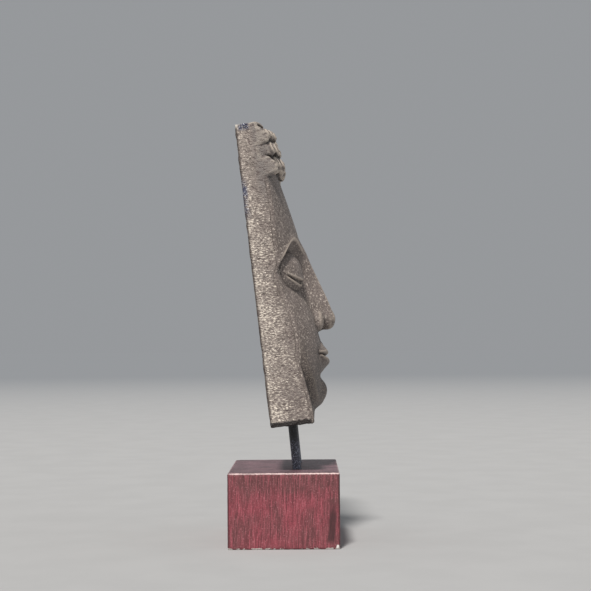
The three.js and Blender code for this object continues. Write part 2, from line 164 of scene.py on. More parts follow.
# Where tones, chips, painted shade and painted glints lie on the slab, each from where it starts to where it
# is full, or the other way
SMOOTH_BAND = dict(level=(142, 166), depth=(8, 14), pits_lost=0.85)
HAIR_EDGE = (-1, 2)
WALL_ON_HAIR = dict(level=(-8, 2), side=(7, 1.5))
NEAR_SIDE = (3, 1)
TOWARDS_BACK = 22
CALM_TOP = dict(level=(115, 150), share=0.2)
PALE_TOP = (115, 190)
LOW_FRONT = dict(level=(62, 22), side=(1.2, 3), depth=(14, 26))
BACK_EDGE = (0.9, 2.5)
LOW_EDGE = (1.6, 5.4)
AWAY_FROM_CUT = (1, 4)
CREAM_CHIP = dict(depth=0.5, reach=(1.6, 3.4))
BLUE_TOP_CHIP = dict(level=(197, 200), inner=(1.8, 3), outer=(10.5, 8.5))
BLUE_EDGE_CHIP = dict(level=158, height=6, second=146, second_height=5, second_share=0.7, depth=(4.4, 2.8))
CREASE_ROUNDS, RECESS_ROUNDS, NEIGHBOUR_SHARE = 3, 60, 0.6

# Stone patterns
STONE_CLOUD = dict(size=11, detail=3)
STONE_GRAIN = dict(size=0.9, detail=3, roughness=0.65)
STONE_FINE = dict(size=0.4, detail=2, roughness=0.6)
STONE_FLECKS = dict(size=1.2, detail=2, roughness=0.6, distortion=0.4)
WALL_STRETCH, WALL_SHIFT = (1.0, 2.0, 0.8), (300, 200, 100)
WALL_GLINTS = dict(size=0.9, detail=3, roughness=0.66, distortion=0.4)
WALL_PITS = dict(size=1.5, detail=3, roughness=0.6)
WALL_PATCHES = dict(size=12, detail=2)
CROWD = dict(back=0.12, patches=0.075, band=-0.10, low=0.32, high=0.68)

# Stone tones, as seen on a screen. Each lies where its pattern runs from low to high, up to its share.
SKIN_TONE, SKIN_PALE = (106, 96, 91), dict(low=0.3, high=0.7, share=1, tone=(123, 112, 107))
SKIN_LIGHTS = dict(low=0.50, high=0.66, share=0.85, tone=(156, 144, 135))
SKIN_DARKS = dict(low=0.46, high=0.32, share=0.8, tone=(66, 55, 51))
SKIN_FINE = dict(low=0.46, high=0.30, share=0.5, tone=(72, 61, 56))
# The pale flecks on the carved front are painted glints
SKIN_PAINTED_GLINTS = dict(low=0.57, high=0.68, share=0.9, tone=(212, 199, 187))
HAIR_TONE, FLECKS_LOST_ON_HAIR = dict(share=0.12, tone=(160, 150, 142)), 0.6
WALL_TONE, WALL_PALE = (118, 107, 101), dict(low=0.3, high=0.7, share=1, tone=(134, 124, 118))
WALL_TOP = dict(share=0.8, tone=(162, 150, 141))
WALL_BAND = dict(share=0.7, tone=(124, 118, 115))
# Painted shade in the low pits of the cut sides' bump
WALL_PIT_PAINTED_SHADE = dict(low=0.54, high=0.34, share=0.85, tone=(86, 70, 69))
# Painted glints on the cut sides, crowding towards the back edge
WALL_PAINTED_GLINTS = dict(low=0.50, high=0.66, share=0.8, tone=(170, 157, 148))
WALL_PAINTED_SPARKLE = dict(low=0.65, high=0.75, share=1, tone=(242, 230, 214))
# Painted shade: darker in the recesses and creases of the carving
RECESS_PAINTED_SHADE = dict(low=0.004, high=0.05, share=0.65, tone=(66, 56, 51))
CREASE_PAINTED_SHADE = dict(low=0.015, high=0.11, share=0.9, tone=(42, 34, 30))
# Painted shade in the gaps between the curls
HAIR_GAP_PAINTED_SHADE = dict(low=-0.006, high=0.022, share=0.85, tone=(50, 42, 39))
# Painted highlights on proud ridges and on the curls
PROUD_PAINTED_HIGHLIGHT = dict(low=-0.02, high=-0.09, share=0.8, tone=(192, 178, 164))
HAIR_PAINTED_HIGHLIGHTS = dict(low=-0.02, high=-0.08, share=0.5, tone=(206, 194, 180))
# Painted shade on the lower front, with painted cream glints over it
LOW_FRONT_SHADE = dict(share=0.55, tone=(46, 37, 34))
LOW_FRONT_PAINTED_GLINTS = dict(low=0.54, high=0.66, share=0.8, tone=(186, 168, 152))
# Painted shade along the rounded back edge and along the slab's lower edge
BACK_EDGE_PAINTED_SHADE = dict(share=0.9, tone=(52, 38, 34))
LOW_EDGE_PAINTED_SHADE = dict(low=0, high=0.35, share=1, tone=(30, 21, 18), ragged=-0.7, off_cut=0.5)
CREAM_TONE = dict(share=0.9, tone=(236, 228, 216))
BLUE_TONE, BLUE_GRAIN = (44, 48, 78), dict(low=0.54, high=0.62, share=1, tone=(214, 216, 224))
BLUE_BREAKS = (0.36, 0.46)
STONE_ROUGHNESS = (0.2, 0.8, 0.64, 0.52)
GLINT_POLISH = (0.56, 0.68, 0.0, 0.28)
STONE_BUMP = dict(depth=0.6, grain=0.5, fine=0.3, wall=1.5)

# Rod paint: black, with a painted blue-grey sheen and glints towards the lit foot
ROD_CLOUD = dict(size=4, detail=3, stretch=(1, 1, 3))
ROD_SPECK = dict(size=0.9, detail=3, roughness=0.65)
ROD_BLACK, ROD_GREY = (11, 10, 12), dict(low=0.35, high=0.7, share=1, tone=(24, 23, 28))
ROD_LIT_FOOT = (74, 58)
ROD_PAINTED_SHEEN_SPAN, ROD_PAINTED_SHEEN_TONE = (0.30, 0.62, 0.35, 1.0), (70, 73, 86)
ROD_PAINTED_GLINTS = dict(low=0.50, high=0.64, share=0.85, tone=(168, 174, 194), above_foot=0.12)
ROD_ROUGHNESS = (0.3, 0.7, 0.28, 0.5)
ROD_BUMP = 0.2

# Brushed paint patterns, stretched upright along the strokes, which lean a little
PAINT_SLANT = 0.05
PAINT_PATCH = dict(size=14, detail=3, roughness=0.55, stretch=(1, 1, 1.6))
PAINT_BROAD = dict(size=3.2, detail=3, roughness=0.6, stretch=(1, 1, 5))
PAINT_STROKE = dict(size=0.7, detail=3, roughness=0.6, stretch=(1, 1, 28))
PAINT_BRISTLE = dict(size=0.45, detail=2, roughness=0.6, stretch=(1, 1, 40))
PAINT_GRAIN = dict(size=0.9, detail=2, roughness=0.6)
TOP_GRAIN = dict(size=0.9, detail=3, roughness=0.7)

# Paint tones
PAINT_RED, PAINT_BROWN = (150, 69, 80), (110, 66, 68)
PATCH_BROWN, HIGH_BROWN = (0.34, 0.66, 0.0, 0.85), (26, 4, 0.0, 0.75)
BROAD_DARKS = dict(low=0.50, high=0.72, share=0.35, tone=(96, 52, 52))
STROKE_DARKS = dict(low=0.52, high=0.30, share=0.7, tone=(86, 46, 49))
STROKE_LIGHTS = dict(low=0.50, high=0.70, share=0.7, tone=(178, 88, 100))
BRISTLE_LIGHTS = dict(low=0.54, high=0.72, share=0.45, tone=(196, 120, 128))
BRISTLE_DARKS = dict(low=0.46, high=0.30, share=0.6, tone=(70, 38, 40))
GRAIN_DARKS = dict(low=0.48, high=0.32, share=0.45, tone=(84, 48, 50))
GRAIN_LIGHTS = dict(low=0.58, high=0.72, share=0.5, tone=(190, 130, 136))
TOP_TONE, TOP_DARKS = (118, 87, 94), dict(low=0.35, high=0.65, share=1, tone=(86, 63, 68))
TOP_SPECKS = dict(low=0.52, high=0.66, share=0.6, tone=(184, 155, 160))
ON_TOP = (1.2, 0.5)
PAINT_ROUGHNESS, WORN_ROUGHNESS = (0.3, 0.7, 0.34, 0.50), 0.2
PAINT_BUMP = dict(depth=0.16, stroke=0.6, bristle=0.4)

# One long dark stroke on the near side
STAIN_TONE = (66, 40, 42)
STAIN_PLACE, STAIN_WANDER = -29.5, 3.0
STAIN_NOISE = dict(size=2.5, detail=3, stretch=(1, 1, 4))
STAIN_ACROSS = (3.2, 1.4, 0.0, 0.85)
STAIN_FOOT, STAIN_TOP, STAIN_SKIN = (2, 7), (34, 22), (0.5, 0.2)

# Worn, dark and chipped edges of the block
FRAY, FRAY_REACH = dict(size=1.3, detail=3), 1.4
UPRIGHT_EDGE = dict(low=1.7, high=0.3, share=0.75, tone=(58, 32, 35))
WORN_EDGE, WORN_TONE = (0.45, -0.25), (232, 204, 200)
WORN_BREAKS, WORN_SPAN = dict(size=11, detail=2), (0.34, 0.58, 0.45, 1.0)
WORN_NEAR_SIDE = (2, 1, 0.42, 0.95)
LOW_CHIP = dict(low=0.5, high=0.1, share=1, tone=(232, 226, 218))
LOW_CHIP_BREAKS, LOW_CHIP_SPAN = dict(size=3.4, detail=3), (0.48, 0.55)
CORNER_CHIP = dict(place=(-BLOCK_WIDTH / 2, -BLOCK_DEPTH / 2 + 1.8, 1.9), low=2.3, high=1.9, share=1,
                   tone=(240, 236, 230), fray=1.6)

# Floor
FLOOR_HALF = 40000.0
FLOOR_SHADE = dict(size=50, detail=3)
FLOOR_TONE, FLOOR_PALE = (175, 175, 175), dict(low=0.3, high=0.7, share=1, tone=(178, 178, 178))
FLOOR_FAR = dict(low=400, high=6000, share=1, tone=(140, 143, 147))
FLOOR_ROUGHNESS, FLOOR_BUMP = (0.3, 0.7, 0.72, 0.78), 0.01

# Light, with places in metres and softness as the sun's width in degrees
KEY_SUN = dict(towards=(-0.58, 0.14, 0.80), power=3.4, softness=9.0, tint=(1.0, 0.97, 0.93))
FRONT_FILL = dict(place=(-0.9, -1.6, 0.7), aim=(0, 0, 0.15), size=1.2, power=1.5, tint=(0.95, 0.97, 1.0))
SKY = dict(tint=(0.93, 0.96, 1.0, 1), power=0.33)

# Camera, fitted to the block's corners
CAMERA_PLACE = Vector((-978.3, -15.6, 132.6)) * MM
CAMERA_YAW, CAMERA_PITCH, CAMERA_ROLL = math.radians(0.42), math.radians(2.11), math.radians(-0.45)
CAMERA_LENS, CAMERA_SENSOR = 56.85, 24.0
CAMERA_NEAREST, CAMERA_FARTHEST = 0.01, 100


def colour(tone):
    """The light that a tone seen on a screen, 0 to 255, stands for."""
    shares = [value / 255 for value in tone]
    return tuple(s / 12.92 if s <= 0.04045 else ((s + 0.055) / 1.055) ** 2.4 for s in shares) + (1.0,)


# Shapes along a line

def share_between(start, end, x):
    return np.clip((x - start) / (end - start), 0.0, 1.0)


def step(start, end, x):
    t = share_between(start, end, x)
    return t * t * (3 - 2 * t)


def ease(start, end, x):
    """A softer step, with no jump in its curvature."""
    t = share_between(start, end, x)
    return t * t * t * (10 - 15 * t + 6 * t * t)


def bump(x, width):
    return np.exp(-((x / width) ** 2))


def join(a, b, soft):
    """The higher of two surfaces, rounded where they meet."""
    h = np.clip(0.5 + 0.5 * (a - b) / soft, 0.0, 1.0)
    return b + (a - b) * h + soft * h * (1 - h)


def curve(x, points):
    """A smooth curve through points, level at both ends."""
    xs, ys = np.array(points, dtype=float).T
    slopes = np.zeros(len(xs))
    slopes[1:-1] = (ys[2:] - ys[:-2]) / (xs[2:] - xs[:-2])
    i = np.clip(np.searchsorted(xs, x, side="right") - 1, 0, len(xs) - 2)
    width = xs[i + 1] - xs[i]
    t = np.clip((x - xs[i]) / width, 0.0, 1.0)
    rest = 1 - t
    ends = (1 + 2 * t) * rest * rest * ys[i] + t * t * (3 - 2 * t) * ys[i + 1]
    return ends + t * rest * width * (rest * slopes[i] - t * slopes[i + 1])


# The carving, as a depth over the slab's flat back

def head(u, v):
    middle, side = curve(v, HEAD_MIDDLE), curve(v, HEAD_SIDE)
    edge = math.sqrt(1 - (HALF_WIDTH / HEAD_REACH) ** 2)
    share = (np.sqrt(1 - (u / HEAD_REACH) ** 2) - edge) / (1 - edge)
    cheek = bump(np.abs(u) - CHEEK["place"], CHEEK["width"]) * bump(v - CHEEK["level"], CHEEK["height"])
    return side + (middle - side) * share + CHEEK["depth"] * cheek


def jaw(u, v, surface):
    """The jaw falls to flat ground at the slab's lower corners."""
    low = np.clip(JAW["centre"] - v, 0, None)
    reach = np.hypot(u / JAW["across"], low / JAW["down"])
    drop = JAW["drop"] * step(JAW["start"], JAW["end"], reach) * step(JAW["centre"], JAW["fade"], v)
    return join(surface - drop, curve(v, CORNER_GROUND), JAW["soft"])


def lid_rim(a):
    """The upper lid's lower rim, and one at the middle of the eye to nothing at its ends."""
    along = (a - EYE["place"]) / SLIT["half"]
    rim = EYE_LEVEL - SLIT["drop"] + SLIT["sag"] * along * along + SLIT["tilt"] * along
    return rim, np.clip(1 - along * along, 0, 1)


def brow(v, a, surface):
    """An arched line over a hollow."""
    below = BROW_LEVEL + BROW["rise"] - (a - BROW["peak"]) ** 2 / BROW["bend"] - v
    inner = step(HOLLOW["inner"], HOLLOW["inner"] + HOLLOW["inner_width"], a)
    outer = 1 - HOLLOW["outer_share"] * step(HOLLOW["outer"], HOLLOW["outer"] + HOLLOW["outer_width"], a)
    under = step(-HOLLOW["above_brow"], HOLLOW["under_brow"], below)
    under = under * (1 - ease(EYE_LEVEL, EYE_LEVEL - HOLLOW["fade"], v))
    ends = step(BROW["line_start"], BROW["line_start"] + BROW["line_fade"], a)
    ends = ends * step(BROW["line_end"], BROW["line_end"] - BROW["line_fade"], a)
    line = BROW["line"] * bump(below, BROW["line_width"]) * ends
    return surface - HOLLOW["depth"] * inner * outer * under + line


def eyes(u, v, surface):
    """Under each brow a lowered upper lid, a narrow slit and a lower lid."""
    a = np.abs(u)
    x = (a - EYE["place"]) / EYE["half_width"]
    y = (v - EYE_LEVEL + EYE["drop"]) / EYE["half_height"]
    dome = EYE["depth"] * np.clip(1 - x * x - y * y, 0, 1) ** EYE["round"]
    rim, inside = lid_rim(a)
    low = rim - SLIT["height"] * inside
    ball = np.clip(dome - SLIT["depth"] * step(0, SLIT["end_share"], inside), 0, None)
    lower_rim = LID["lower_rim"] * np.sqrt(inside) * bump(v - low + LID["lower_drop"], LID["lower_width"])
    lower = LID["lower_share"] * np.clip(dome - SLIT["edge"], 0, None) + lower_rim
    lower = lower * (1 - LID["lower_fade_share"] * step(0, LID["lower_fade"], low - v))
    is_open = step(-SLIT["edge"], SLIT["edge"], v - low)
    over = step(-SLIT["edge"], SLIT["edge"], v - rim)
    lid = dome * over + (lower * (1 - is_open) + ball * is_open) * (1 - over)
    band = bump(v - rim - LID["band_rise"], LID["band_width"]) * step(0, LID["band_end_share"], inside)
    return brow(v, a, surface) + lid + LID["band"] * band


def knob(form, a, up, surface):
    """A rounded mass joined to the surface."""
    x = (a - form["place"]) / form["across"]
    y = (up - form["up"] - form["lean"] * (a - form["place"])) / form["tall"]
    t = np.hypot(x, y)
    swell = np.sqrt(np.clip(1 - t * t, 0, 1)) - KNOB_FALL * np.clip(t - 1, 0, None)
    return join(form["depth"] + form["swell"] * swell, surface, form["soft"])


def nose(u, v, surface):
    a, up = np.abs(u), v - NOSE_LEVEL
    beyond = np.clip(a - curve(up, NOSE_FLAT), 0, None)
    edge = NOSE_UNDERCUT["edge"]
    side = curve(up, NOSE_SLOPE) * (np.hypot(beyond, edge) - edge)
    under = NOSE_UNDERCUT["drop"] * (1 - step(NOSE_UNDERCUT["low"], NOSE_UNDERCUT["high"], up))
    bridge = join(curve(up, NOSE_RIDGE) - side - under, surface, curve(up, NOSE_BLEND))
    return knob(NOSE_WING, a, up, knob(NOSE_TIP, a, up, bridge))


def lip(form, a, away, extra):
    """One lip: it rises quickly from the mouth's line and fades to the skin."""
    share = np.clip(1 - (a / form["half"]) ** form["full"], 0, 1)
    thick = np.maximum(form["thick"] * share ** form["round"] + extra, LIP["least_thick"])
    t = np.clip(away / thick, 0, None)
    rise = 1 - (1 - np.clip(t / form["rise"], 0, 1)) ** 2
    fall = 1 - (1 - form["keep"]) * step(form["fall"], 1, t)
    fade = 1 - step(LIP["fade_start"], LIP["fade_end"], t)
    return form["depth"] * share ** LIP["taper"] * rise * fall * fade


def mouth(u, v, surface):
    a, up = np.abs(u), v - MOUTH_LEVEL
    muzzle = MUZZLE["depth"] * bump(u, MUZZLE["width"]) * bump(up, MUZZLE["height"])
    line = u * u / MOUTH["bend"] - MOUTH["dip"] * bump(u, MOUTH["dip_width"])
    line = line + MOUTH["wave"] * bump(a - MOUTH["wave_place"], MOUTH["wave_width"])
    peak = LIP_PEAK["thick"] * bump(a - LIP_PEAK["place"], LIP_PEAK["width"])
    lips = lip(UPPER_LIP, a, up - line, peak) + lip(LOWER_LIP, a, line - up, 0)
    corner = bump(a - MOUTH_CORNER["place"], MOUTH_CORNER["width"]) * bump(up - line, MOUTH_CORNER["width"])
    groove = bump(up - line, MOUTH["groove_width"]) * step(MOUTH["end"], MOUTH["end"] - MOUTH["end_width"], a)
    surface = surface + muzzle + lips - MOUTH_CORNER["depth"] * corner - MOUTH["groove"] * groove
    return surface + philtrum(u, v)


def philtrum(u, v):
    """The furrow between nose and lip, with a low ridge on both sides."""
    foot, top, fade = PHILTRUM["foot"], PHILTRUM["top"], PHILTRUM["fade"]
    window = step(foot, foot + fade, v - MOUTH_LEVEL) * step(top, top - fade, v - NOSE_LEVEL)
    ridges = PHILTRUM["ridge"] * bump(np.abs(u) - PHILTRUM["ridge_place"], PHILTRUM["ridge_width"])
    return window * (ridges - PHILTRUM["depth"] * bump(u, PHILTRUM["width"]))


def chin(u, v, surface):
    fold = bump(u, CHIN_FOLD["width"]) * bump(v - MOUTH_LEVEL + CHIN_FOLD["below"], CHIN_FOLD["height"])
    ball = bump(u, CHIN["width"]) * bump(v - CHIN["level"], CHIN["height"])
    return surface - CHIN_FOLD["depth"] * fold + CHIN["depth"] * ball


def hairline(u):
    """The hairline's level, lower towards the sides."""
    return HAIRLINE_LEVEL - u * u / HAIR["bend"]


def hair_ground(u, v, surface):
    return surface + HAIR["rise"] * step(-HAIR["under"], HAIR["over"], v - hairline(u))


def carving(u, v):
    """The whole face without its curls, u across and v up from the bottom cut."""
    surface = eyes(u, v, jaw(u, v, head(u, v)))
    surface = chin(u, v, mouth(u, v, surface))
    return hair_ground(u, v, nose(u, v, surface))


def curl_places():
    """Each curl's u, v and size. They stray a little from the even packing, alike on both sides."""
    places = []
    aside = math.ceil(CURLS_ACROSS / 2)
    for row in range(CURL_ROWS):
        shift = 0.5 if row % 2 == 0 else 0.0
        for k in range(-aside, aside + 1):
            across = k + shift
            turn = CURL_TURN * (abs(across) + row * CURL_ROWS)
            u = across * CURL_PITCH + np.sign(across) * CURL_STRAY * math.cos(turn)
            if abs(u) > HALF_WIDTH:
                continue
            v = hairline(u) + CURL_START + row * CURL_ROW + CURL_STRAY * math.sin(turn)
            places.append((u, v, 1 + CURL_UNEVEN * math.sin(2 * turn)))
    return np.array(places).T


# Meshes

def add_object(name, data):
    thing = bpy.data.objects.new(name, data)
    bpy.context.scene.collection.objects.link(thing)
    return thing


def mesh_object(name, points, faces):
    """An object from points in millimetres and faces."""
    mesh = bpy.data.meshes.new(name)
    mesh.from_pydata(np.asarray(points, dtype=float) * MM, [], faces)
    mesh.update()
    return add_object(name, mesh)


def bake(thing):
    """Turns an object's modifiers into its plain mesh."""
    bpy.context.view_layer.update()
    evaluated = thing.evaluated_get(bpy.context.evaluated_depsgraph_get())
    mesh = bpy.data.meshes.new_from_object(evaluated)
    thing.modifiers.clear()
    old = thing.data
    thing.data = mesh
    bpy.data.meshes.remove(old)


def numbers_of(items, name):
    """Three numbers of each of a mesh's vertices or normals."""
    numbers = np.empty(len(items) * 3, dtype=np.float32)
    items.foreach_get(name, numbers)
    return numbers.reshape(-1, 3).astype(float)


def points_of(mesh):
    return numbers_of(mesh.vertices, "co")


def smooth(thing):
    """Smooth faces with the corners of bores and ends kept sharp."""
    thing.data.shade_smooth()
    thing.data.set_sharp_from_angle(angle=SHARP_ANGLE)


def set_value(mesh, name, values):
    """Keeps one number for each vertex, for the finish to read."""
    kept = mesh.attributes.new(name, "FLOAT", "POINT").data
    kept.foreach_set("value", np.asarray(values, dtype=np.float32))


def hollow_of(mesh, rounds):
    """How hollow (over 0) or proud (under 0) the surface is at each vertex."""
    edges = np.empty(len(mesh.edges) * 2, dtype=np.int32)
    mesh.edges.foreach_get("vertices", edges)
    a, b = edges.reshape(-1, 2).T
    points, normals = points_of(mesh), numbers_of(mesh.vertex_normals, "vector")
    along = points[b] - points[a]
    along /= np.maximum(np.linalg.norm(along, axis=1, keepdims=True), 1e-9)

    def gathered(at_a, at_b):
        return np.bincount(a, at_a, len(points)) + np.bincount(b, at_b, len(points))

    count = gathered(np.ones(len(a)), np.ones(len(b)))
    value = gathered((normals[a] * along).sum(1), -(normals[b] * along).sum(1)) / count
    for _ in range(rounds):
        value = (1 - NEIGHBOUR_SHARE) * value + NEIGHBOUR_SHARE * gathered(value[b], value[a]) / count
    return value


def grid_lines(start, end, count, closeness):
    """Lines from start to end, spaced by how closely each place needs them."""
    places = np.linspace(start, end, SAMPLES + 1)
    sums = np.concatenate([[0], np.cumsum(closeness((places[1:] + places[:-1]) / 2))])
    return np.interp(np.linspace(0, sums[-1], count + 1), sums, places)


def rounded_box(points, low, high, radius):
    """Moves points on a box's surface so that its edges and corners are rounded."""
    core = np.clip(points, low + radius, high - radius)
    away = points - core
    length = np.linalg.norm(away, axis=1, keepdims=True)
    moved = core + away * radius / np.maximum(length, 1e-9)
    return np.where(length > radius, moved, points)


class Signal:
    """A node's output, which takes part in sums as a number does."""

    def __init__(self, maker, socket):
        self.maker, self.socket = maker, socket

    def __add__(self, other):
        return self.maker.math("ADD", self, other)

    def __sub__(self, other):
        return self.maker.math("SUBTRACT", self, other)

    def __rsub__(self, other):
        return self.maker.math("SUBTRACT", other, self)

    def __mul__(self, other):
        return self.maker.math("MULTIPLY", self, other)

    def __truediv__(self, other):
        return self.maker.math("DIVIDE", self, other)

    def __rtruediv__(self, other):
        return self.maker.math("DIVIDE", other, self)


class NodeMaker:
    """Adds nodes to a tree, with signals or plain values as their inputs."""

    def __init__(self, tree):
        self.tree = tree

    def fill(self, node, inputs):
        for name, value in inputs.items():
            if isinstance(value, Signal):
                self.tree.links.new(value.socket, node.inputs[name])
            else:
                node.inputs[name].default_value = value

    def add(self, kind, inputs, output=0, **settings):
        """One output of a new node."""
        node = self.tree.nodes.new(kind)
        for name, value in settings.items():
            setattr(node, name, value)
        self.fill(node, inputs)
        return Signal(self, node.outputs[output])

    def math(self, operation, *values, clamp=False):
        return self.add("ShaderNodeMath", dict(enumerate(values)), operation=operation, use_clamp=clamp)

    def vector(self, operation, *values):
        output = "Value" if operation in ("LENGTH", "DISTANCE") else "Vector"
        return self.add("ShaderNodeVectorMath", dict(enumerate(values)), output, operation=operation)

    def parts(self, place):
        """A place's x, y and z."""
        apart = self.add("ShaderNodeSeparateXYZ", {0: place}).socket.node
        return [Signal(self, socket) for socket in apart.outputs]

    def spread(self, value, low, high, to_low=0.0, to_high=1.0):
        """A value between low and high, spread smoothly to another range."""
        inputs = {"Value": value, "From Min": low, "From Max": high, "To Min": to_low, "To Max": to_high}
        return self.add("ShaderNodeMapRange", inputs, "Result", interpolation_type="SMOOTHSTEP")

    def blend(self, share, first, second):
        return self.add("ShaderNodeMix", {0: share, 6: first, 7: second}, 2, data_type="RGBA")

    def layers(self, base, *looks):
        """Lays tones over a base. A look's pattern runs from low to high, or is itself the share."""
        for look, pattern, *marks in looks:
            if "low" in look:
                share = self.spread(pattern, look["low"], look["high"], 0.0, look["share"])
            else:
                share = pattern * look["share"]
            for mark in marks:
                share = share * mark
            base = self.blend(share, base, colour(look["tone"]))
        return base

    def stretched(self, place, shares):
        """A place whose pattern is stretched along each axis by its share."""
        return self.vector("MULTIPLY", place, tuple(1 / share for share in shares))

    def noise(self, place, size, detail, roughness=0.5, distortion=0.0, stretch=None):
        """A noise whose blotches are about size millimetres across."""
        if stretch:
            place = self.stretched(place, stretch)
        inputs = {"Vector": place, "Scale": 1 / size, "Detail": detail, "Roughness": roughness,
                  "Distortion": distortion}
        return self.add("ShaderNodeTexNoise", inputs)

    def marks(self, *names):
        """The vertices' kept numbers, in a finish."""
        return [self.add("ShaderNodeAttribute", {}, "Fac", attribute_name=name) for name in names]

    def kept(self, name):
        """The vertices' kept number, in a geometry tree."""
        return self.add("GeometryNodeInputNamedAttribute", {"Name": name}, data_type="FLOAT")

    def start(self):
        """A geometry tree's own inputs, and each vertex's place and normal."""
        given = self.tree.nodes.new("NodeGroupInput").outputs
        place, normal = (self.add("GeometryNodeInput" + kind, {}) for kind in ("Position", "Normal"))
        return {socket.name: Signal(self, socket) for socket in given}, place, normal

    def end(self, geometry, direction, distance, material=None):
        """Moves each vertex along its direction. Every tree ends in real geometry with its own material."""
        inputs = {0: direction, "Scale": distance}
        offset = self.add("ShaderNodeVectorMath", inputs, operation="SCALE")
        moved = self.add("GeometryNodeSetPosition", {"Geometry": geometry, "Offset": offset})
        real = self.add("GeometryNodeRealizeInstances", {0: moved})
        dressed = self.add("GeometryNodeSetMaterial", {"Geometry": real, "Material": material})
        self.fill(self.tree.nodes.new("NodeGroupOutput"), {0: dressed})


def tree_with_inputs(name, inputs):
    """A geometry tree whose sizes, and the object it may need, are named inputs."""
    tree = bpy.data.node_groups.new(name, "GeometryNodeTree")
    tree.interface.new_socket("Geometry", in_out="INPUT", socket_type="NodeSocketGeometry")
    for label, value in inputs.items():
        kind = "NodeSocketFloat" if isinstance(value, float) else "NodeSocketObject"
        tree.interface.new_socket(label, in_out="INPUT", socket_type=kind)
    tree.interface.new_socket("Geometry", in_out="OUTPUT", socket_type="NodeSocketGeometry")
    return tree


def run_tree(thing, tree, inputs):
    """Runs a geometry tree on an object and keeps the result as its plain mesh."""
    modifier = thing.modifiers.new(tree.name, "NODES")
    modifier.node_group = tree
    for item in tree.interface.items_tree:
        if item.in_out == "INPUT" and item.name in inputs:
            modifier[item.identifier] = inputs[item.name]
    bake(thing)


# Trees

def raise_curls(sheet, centres):
    """Raises a round curl with a spiral ridge over each centre."""
    inputs = {
        "Curl centres": centres,
        "Curl radius": CURL_RADIUS * MM,
        "Curl height": CURL_HEIGHT * MM,
        "Curl roundness": CURL_ROUND,
        "Curl droop": CURL_DROOP,
        "Spiral turn": CURL_SPIRAL * MM,
        "Spiral ridge": CURL_RIDGE * MM,
    }
    tree = tree_with_inputs("Snail curls", inputs)
    maker = NodeMaker(tree)
    given, place, normal = maker.start()
    seats = maker.add("GeometryNodeObjectInfo", {"Object": given["Curl centres"]}, "Geometry")
    index = maker.add("GeometryNodeSampleNearest", {"Geometry": seats}, domain="POINT")

    def nearest(value, kind):
        sampled = {"Geometry": seats, "Value": value, "Index": index}
        return maker.add("GeometryNodeSampleIndex", sampled, data_type=kind, domain="POINT")

    centre, size = nearest(place, "FLOAT_VECTOR"), nearest(maker.kept("size"), "FLOAT")
    offset = maker.vector("SUBTRACT", place, centre)
    x, y, _ = maker.parts(offset)
    distance = maker.vector("LENGTH", offset)
    radius = given["Curl radius"] * size
    reach = maker.math("DIVIDE", distance, radius, clamp=True)
    dome = 1.0 - maker.math("POWER", reach, given["Curl roundness"])
    rise = dome * (1.0 - y / radius * given["Curl droop"]) * given["Curl height"] * size
    side = maker.math("SIGN", maker.parts(centre)[0])
    turn = maker.math("ARCTAN2", y, x * side) + distance / given["Spiral turn"] * (2 * math.pi)
    tip = maker.spread(distance, CURL_TIP[0] * MM, CURL_TIP[1] * MM)
    foot = maker.spread(reach, *CURL_FOOT, 1.0, 0.0)
    ridge = maker.math("COSINE", turn) * given["Spiral ridge"] * tip * foot
    tilt = {0: maker.kept("inner"), 4: (0.0, 0.0, 1.0), 5: normal}
    outward = maker.add("ShaderNodeMix", tilt, 1, data_type="VECTOR")
    maker.end(given["Geometry"], outward, (rise + ridge) * maker.kept("curl share"))
    run_tree(sheet, tree, inputs)


def sink_patterns(thing, title, patterns, seed, share, material):
    """Sinks noise patterns into a mesh, as far as each vertex's kept share says."""
    inputs = {"Seed": seed}
    for label, look in patterns.items():
        inputs[label + " size"] = look["size"] * MM
        inputs[label + " depth"] = look["depth"] * MM
    tree = tree_with_inputs(title, inputs)
    maker = NodeMaker(tree)
    given, place, normal = maker.start()
    depth = 0.0
    for label, look in patterns.items():
        values = {"Vector": place, "W": given["Seed"], "Scale": 1.0 / given[label + " size"],
                  "Detail": look["detail"]}
        noise = maker.add("ShaderNodeTexNoise", values, noise_dimensions="4D")
        depth = maker.spread(noise, look["low"], look["high"]) * given[label + " depth"] + depth
    maker.end(given["Geometry"], normal, depth * maker.kept(share) * -1.0, material)
    run_tree(thing, tree, inputs)


# Finishes

def principled(name):
    """A new material, with its shader and a place in millimetres."""
    material = bpy.data.materials.new(name)
    material.use_nodes = True
    maker = NodeMaker(material.node_tree)
    shader = next(n for n in material.node_tree.nodes if n.type == "BSDF_PRINCIPLED")
    place = maker.add("ShaderNodeTexCoord", {}, "Object")
    return material, maker, shader, maker.vector("MULTIPLY", place, (1 / MM, 1 / MM, 1 / MM))


def finish(maker, shader, base, rough, height, bump_depth):
    relief = maker.add("ShaderNodeBump", {"Height": height, "Distance": bump_depth * MM, "Strength": 1.0})
    maker.fill(shader, {"Base Color": base, "Roughness": rough, "Normal": relief})


def carved_skin(maker, place, cloud, grain, fine, hair):
    """The carved front: soft clouds, light and dark grains, and pale flecks that are painted glints, fewer on
    the hair.
    """
    flecks = maker.noise(place, **STONE_FLECKS)
    return maker.layers(
        colour(SKIN_TONE), (SKIN_PALE, cloud), (SKIN_LIGHTS, grain), (SKIN_DARKS, grain), (SKIN_FINE, fine),
        (HAIR_TONE, hair), (SKIN_PAINTED_GLINTS, flecks, 1.0 - hair * FLECKS_LOST_ON_HAIR))


def crowded(maker, place, glints, band):
    """The painted glints of the cut sides, more towards the back and in patches, fewer on the smooth band."""
    patches = maker.spread(maker.noise(place, **WALL_PATCHES), CROWD["low"], CROWD["high"])
    [back] = maker.marks("towards back")
    return glints + back * CROWD["back"] + patches * CROWD["patches"] + band * CROWD["band"]


